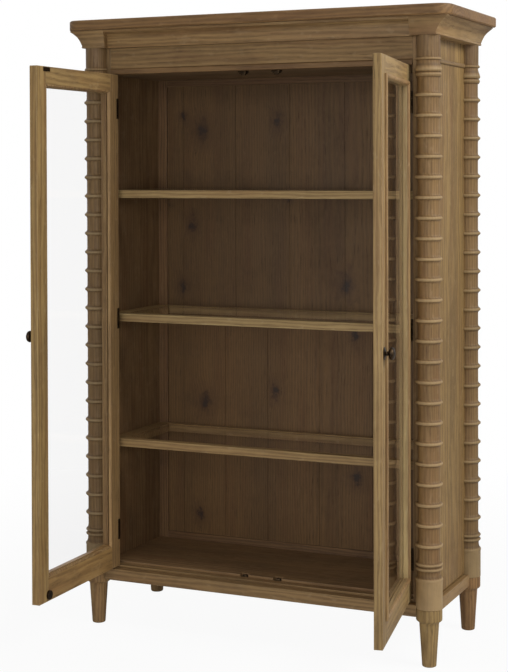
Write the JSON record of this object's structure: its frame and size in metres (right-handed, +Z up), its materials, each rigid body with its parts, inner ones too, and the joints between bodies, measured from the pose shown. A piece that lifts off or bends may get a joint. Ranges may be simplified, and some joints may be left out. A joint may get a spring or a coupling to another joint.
{
  "type": "display cabinet",
  "caption": "Tall wooden display cabinet with ringed corner posts, a moulded cornice, glazed shelves and a pair of glazed doors that stand open.",
  "frame": {"origin": "middle of the footprint on the floor, as the cabinet stands with its doors open at rest", "axes": "+X to the right seen from the front, -Y out of the front, +Z up"},
  "size_m": [1.386, 1.026, 2.1],
  "materials": {
    "oak": "weathered, waxed",
    "oak_back": "weathered, sawn boards",
    "glass": "clear",
    "dark_bronze": "dark patina",
    "steel": "plain"
  },
  "bodies": {
    "carcass": {"back_base_rail": "oak", "back_left_leg": "oak", "back_left_post": "oak", "back_rails": "oak", "back_right_leg": "oak", "back_right_post": "oak", "back_stiles": "oak", "bottom_front_rail": "oak", "ceiling_board": "oak", "cornice_breaks": "oak", "crown_slab": "oak", "door_catches": "dark_bronze", "floor_board": "oak", "frieze_board": "oak", "front_base_rail": "oak", "front_cornice": "oak", "front_left_leg": "oak", "front_left_post": "oak", "front_right_leg": "oak", "front_right_post": "oak", "head_rail": "oak", "hinge_pins": "dark_bronze", "jamb_hinge_leaves": "dark_bronze", "left_cornice": "oak", "left_front_stile": "oak", "left_side_panel": "oak", "lower_back_boards": "oak_back", "lower_shelf_frame": "oak", "lower_shelf_glass": "glass", "middle_shelf_frame": "oak", "middle_shelf_glass": "glass", "right_cornice": "oak", "right_front_stile": "oak", "right_side_panel": "oak", "shelf_supports": "steel", "side_base_rails": "oak", "side_beads": "oak", "upper_back_boards": "oak_back", "upper_shelf_frame": "oak", "upper_shelf_glass": "glass"},
    "left_door": {"left_door_bottom_rail": "oak", "left_door_glass": "glass", "left_door_glazing_beads": "oak", "left_door_hinge_leaves": "dark_bronze", "left_door_hinge_stile": "oak", "left_door_knob": "dark_bronze", "left_door_meeting_stile": "oak", "left_door_moulding": "oak", "left_door_strikes": "dark_bronze", "left_door_top_rail": "oak"},
    "right_door": {"right_door_bottom_rail": "oak", "right_door_glass": "glass", "right_door_glazing_beads": "oak", "right_door_hinge_leaves": "dark_bronze", "right_door_hinge_stile": "oak", "right_door_knob": "dark_bronze", "right_door_meeting_stile": "oak", "right_door_moulding": "oak", "right_door_strikes": "dark_bronze", "right_door_top_rail": "oak"}
  },
  "joints": [
    {"name": "left_door_hinge", "type": "hinge", "parent": "carcass", "child": "left_door", "pos_m": [-0.5487, 0.0341, 1.06], "axis": [0, 0, -1], "range_deg": [-88.5, 21.5]},
    {"name": "right_door_hinge", "type": "hinge", "parent": "carcass", "child": "right_door", "pos_m": [0.5487, 0.0341, 1.06], "axis": [0, 0, 1], "range_deg": [-100, 10]}
  ]
}
